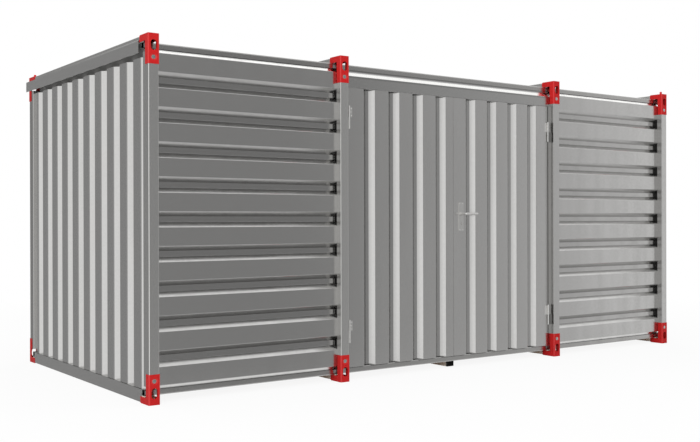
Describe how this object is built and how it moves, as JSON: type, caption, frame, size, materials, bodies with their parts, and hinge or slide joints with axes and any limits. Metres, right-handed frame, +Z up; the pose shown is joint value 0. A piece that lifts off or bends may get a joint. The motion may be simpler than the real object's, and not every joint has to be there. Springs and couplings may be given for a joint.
{
  "type": "flat pack storage container",
  "caption": "Long bolted storage container of ribbed galvanised sheets between posts with red corner fittings; double doors with a lever handle open on the long side.",
  "frame": {"origin": "ground level under the middle of the overall box", "axes": "+X along the length, to the right as seen from the doors; -Y out of the doors; +Z up"},
  "size_m": [4.923, 2.3256, 2.225],
  "materials": {
    "galvanised_sheet": "satin",
    "galvanised_frame": "satin",
    "red_fittings": "satin",
    "skid_steel": "matte",
    "black_plugs": "matte",
    "floor_board": "matte",
    "hinge_steel": "satin",
    "lock_steel": "satin"
  },
  "bodies": {
    "container": {"front_left_corner_post": "galvanised_frame", "front_left_corner_fittings": "red_fittings", "rear_left_corner_post": "galvanised_frame", "rear_left_corner_fittings": "red_fittings", "front_left_inner_post": "galvanised_frame", "front_left_inner_fittings": "red_fittings", "rear_left_inner_post": "galvanised_frame", "rear_left_inner_fittings": "red_fittings", "front_right_inner_post": "galvanised_frame", "front_right_inner_fittings": "red_fittings", "rear_right_inner_post": "galvanised_frame", "rear_right_inner_fittings": "red_fittings", "front_right_corner_post": "galvanised_frame", "front_right_corner_fittings": "red_fittings", "rear_right_corner_post": "galvanised_frame", "rear_right_corner_fittings": "red_fittings", "skids": "skid_steel", "skid_plugs": "black_plugs", "roof_beams": "galvanised_frame", "front_base_rail": "galvanised_frame", "rear_base_rail": "galvanised_frame", "front_roof_rail": "galvanised_frame", "rear_roof_rail": "galvanised_frame", "wall_head_rails": "galvanised_frame", "floor": "floor_board", "front_left_panel": "galvanised_sheet", "front_right_panel": "galvanised_sheet", "rear_left_panel": "galvanised_sheet", "rear_middle_panel": "galvanised_sheet", "rear_right_panel": "galvanised_sheet", "left_end_wall": "galvanised_sheet", "right_end_wall": "galvanised_sheet", "roof_sheet": "galvanised_sheet", "rear_eaves": "galvanised_sheet", "left_end_rail": "galvanised_frame", "right_end_rail": "galvanised_frame", "left_fascia": "galvanised_frame", "right_fascia": "galvanised_frame", "door_header": "galvanised_frame", "door_jambs": "galvanised_frame", "post_hinges": "hinge_steel", "stacking_pins": "red_fittings"},
    "left_leaf": {"left_door": "galvanised_sheet", "left_door_hinges": "hinge_steel"},
    "right_leaf": {"right_door": "galvanised_sheet", "right_door_hinges": "hinge_steel", "door_overlap_strip": "galvanised_frame", "lock_plate": "lock_steel"},
    "handle": {"lever": "lock_steel"}
  },
  "joints": [
    {"name": "left_door_swing", "type": "hinge", "parent": "container", "child": "left_leaf", "pos_m": [-0.977, -1.10125, 1], "axis": [0, 0, -1], "range_deg": [0, 120]},
    {"name": "right_door_swing", "type": "hinge", "parent": "container", "child": "right_leaf", "pos_m": [0.977, -1.10125, 1], "axis": [0, 0, 1], "range_deg": [0, 120]},
    {"name": "lever_turn", "type": "hinge", "parent": "right_leaf", "child": "handle", "pos_m": [0.048, -1.10825, 1.138], "axis": [0, 1, 0], "range_deg": [0, 40], "stiffness_Nm_per_rad": 1.5, "springref_deg": -28.65}
  ]
}
